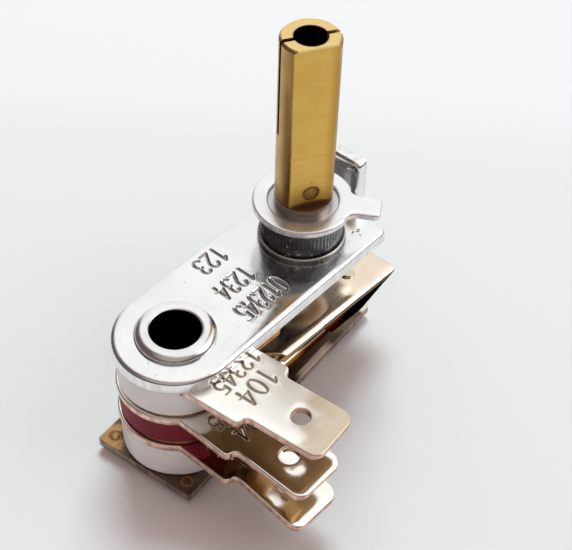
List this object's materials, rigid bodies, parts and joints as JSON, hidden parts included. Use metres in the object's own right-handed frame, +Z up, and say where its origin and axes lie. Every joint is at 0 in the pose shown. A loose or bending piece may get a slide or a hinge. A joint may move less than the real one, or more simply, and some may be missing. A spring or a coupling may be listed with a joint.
{
  "type": "bimetal temperature switch",
  "caption": "Bimetal temperature switch: plated bracket with a slit brass D-spindle, ceramic rings clamped by a hollow rivet, push-on terminals, channel contact arms and a bimetal strip.",
  "frame": {"origin": "on the axis of the hollow rivet, at the lowest face of its head", "axes": "+X from the rivet to the control spindle, +Z up along the spindle, the terminals point to -Y"},
  "size_m": [0.035, 0.0276, 0.0421],
  "materials": {
    "zinc_plated_steel": "bright zinc plate, sheared edges",
    "dark_steel": "dark turned steel",
    "spindle_brass": "turned and milled brass",
    "nickelled_brass": "nickel plate over brass, bare copper edges",
    "spring_bronze": "rolled spring bronze",
    "bimetal": "heat-tinted rolled strip",
    "white_ceramic": "satin white steatite",
    "red_insulator": "dark red satin ceramic",
    "contact_silver": "silver contact metal",
    "screw_steel": "plain steel",
    "mica_sleeve": "pressed mica tube"
  },
  "bodies": {
    "frame": {"bracket_plate": "zinc_plated_steel", "spindle_bushing": "dark_steel", "hollow_rivet": "zinc_plated_steel", "insulating_sleeve": "mica_sleeve", "upper_ceramic_ring": "white_ceramic", "red_insulating_ring": "red_insulator", "lower_ceramic_ring": "white_ceramic", "upper_terminal": "nickelled_brass", "middle_terminal": "nickelled_brass", "lower_terminal": "nickelled_brass", "upper_leaf_spring": "spring_bronze", "lower_leaf_spring": "spring_bronze", "bimetal_strip": "bimetal"},
    "pin_body": {"push_pin": "white_ceramic"},
    "spindle_body": {"spindle": "spindle_brass", "stop_washer": "zinc_plated_steel", "calibration_screw": "screw_steel"},
    "upper_arm_body": {"upper_contact_arm": "spring_bronze", "upper_contacts": "contact_silver"},
    "lower_arm_body": {"lower_contact_arm": "spring_bronze", "lower_contacts": "contact_silver"},
    "striker_body": {"striker_pin": "white_ceramic"}
  },
  "joints": [
    {"name": "pin_travel", "type": "slide", "parent": "frame", "child": "pin_body", "axis": [0, 0, 1], "range_m": [-0.0006, 0.00008]},
    {"name": "spindle_turn", "type": "hinge", "parent": "pin_body", "child": "spindle_body", "pos_m": [0.0191, 0, 0.01691], "axis": [0, 0, 1], "range_deg": [-270, 36]},
    {"name": "upper_arm_flex", "type": "hinge", "parent": "frame", "child": "upper_arm_body", "pos_m": [0.007, 0, 0.01131], "axis": [0, 1, 0], "range_deg": [-0.41, 2.87], "deforming": ["upper_leaf_spring"]},
    {"name": "bimetal_bend", "type": "hinge", "parent": "frame", "child": "striker_body", "pos_m": [0.01, 0.00084, 0.00126], "axis": [-0.0837, 0.9965, 0], "range_deg": [0, 2.5], "stiffness_Nm_per_rad": 0.05, "deforming": ["bimetal_strip"]},
    {"name": "lower_arm_flex", "type": "hinge", "parent": "frame", "child": "lower_arm_body", "pos_m": [0.007, 0, 0.00711], "axis": [0, 1, 0], "range_deg": [-0.02, 2.02], "deforming": ["lower_leaf_spring"]}
  ],
  "couplings": [
    {"joint": "spindle_turn", "follows": "pin_travel", "rad_per_m": 7854},
    {"joint": "upper_arm_flex", "follows": "pin_travel", "rad_per_m": -82.647},
    {"joint": "lower_arm_flex", "follows": "bimetal_bend", "ratio": 0.7948}
  ]
}
